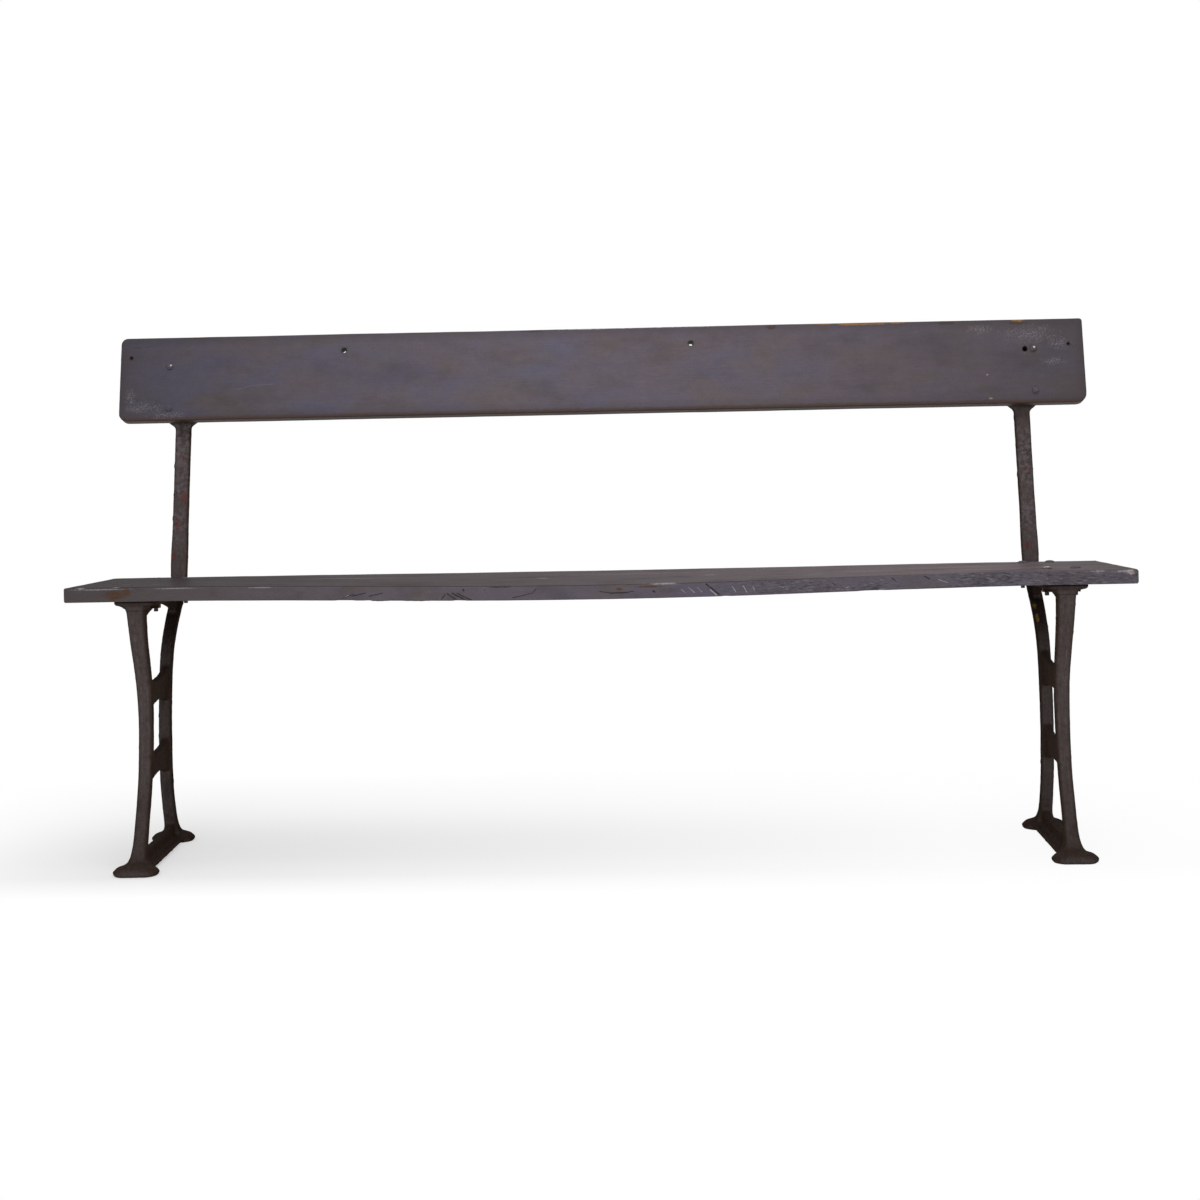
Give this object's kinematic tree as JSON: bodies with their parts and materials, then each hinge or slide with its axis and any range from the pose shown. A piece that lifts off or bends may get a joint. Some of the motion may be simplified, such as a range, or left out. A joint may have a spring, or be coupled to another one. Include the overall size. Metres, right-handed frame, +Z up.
{
  "type": "bench",
  "caption": "Long plank bench: a worn wooden seat and a reclined back board bolted to cast-iron end frames with bowed legs, hollow webs, tie bars and domed feet.",
  "frame": {"origin": "on the floor, in the middle of the bounding box", "axes": "+X along the bench to the right of someone who faces its front, +Y to its back, +Z up"},
  "size_m": [1.778, 0.4866, 0.9031],
  "materials": {
    "seat_wood": "worn mauve-grey paint",
    "back_wood": "worn mauve-grey paint",
    "frame_iron": "old dark paint, rusty inside",
    "fastener_iron": "painted over, worn bright on the heads"
  },
  "bodies": {
    "root": {"seat_board": "seat_wood", "back_board": "back_wood", "left_end_frame": "frame_iron", "right_end_frame": "frame_iron", "left_front_outer_seat_bolt": "fastener_iron", "left_front_outer_seat_nut": "fastener_iron", "left_front_inner_seat_bolt": "fastener_iron", "left_front_inner_seat_nut": "fastener_iron", "left_rear_outer_seat_bolt": "fastener_iron", "left_rear_outer_seat_nut": "fastener_iron", "left_rear_inner_seat_bolt": "fastener_iron", "left_rear_inner_seat_nut": "fastener_iron", "left_lower_back_bolt": "fastener_iron", "left_lower_back_nut": "fastener_iron", "left_upper_back_bolt": "fastener_iron", "left_upper_back_nut": "fastener_iron", "right_front_outer_seat_bolt": "fastener_iron", "right_front_outer_seat_nut": "fastener_iron", "right_front_inner_seat_bolt": "fastener_iron", "right_front_inner_seat_nut": "fastener_iron", "right_rear_outer_seat_bolt": "fastener_iron", "right_rear_outer_seat_nut": "fastener_iron", "right_rear_inner_seat_bolt": "fastener_iron", "right_rear_inner_seat_nut": "fastener_iron", "right_lower_back_bolt": "fastener_iron", "right_lower_back_nut": "fastener_iron", "right_upper_back_bolt": "fastener_iron", "right_upper_back_nut": "fastener_iron"}
  },
  "joints": []
}
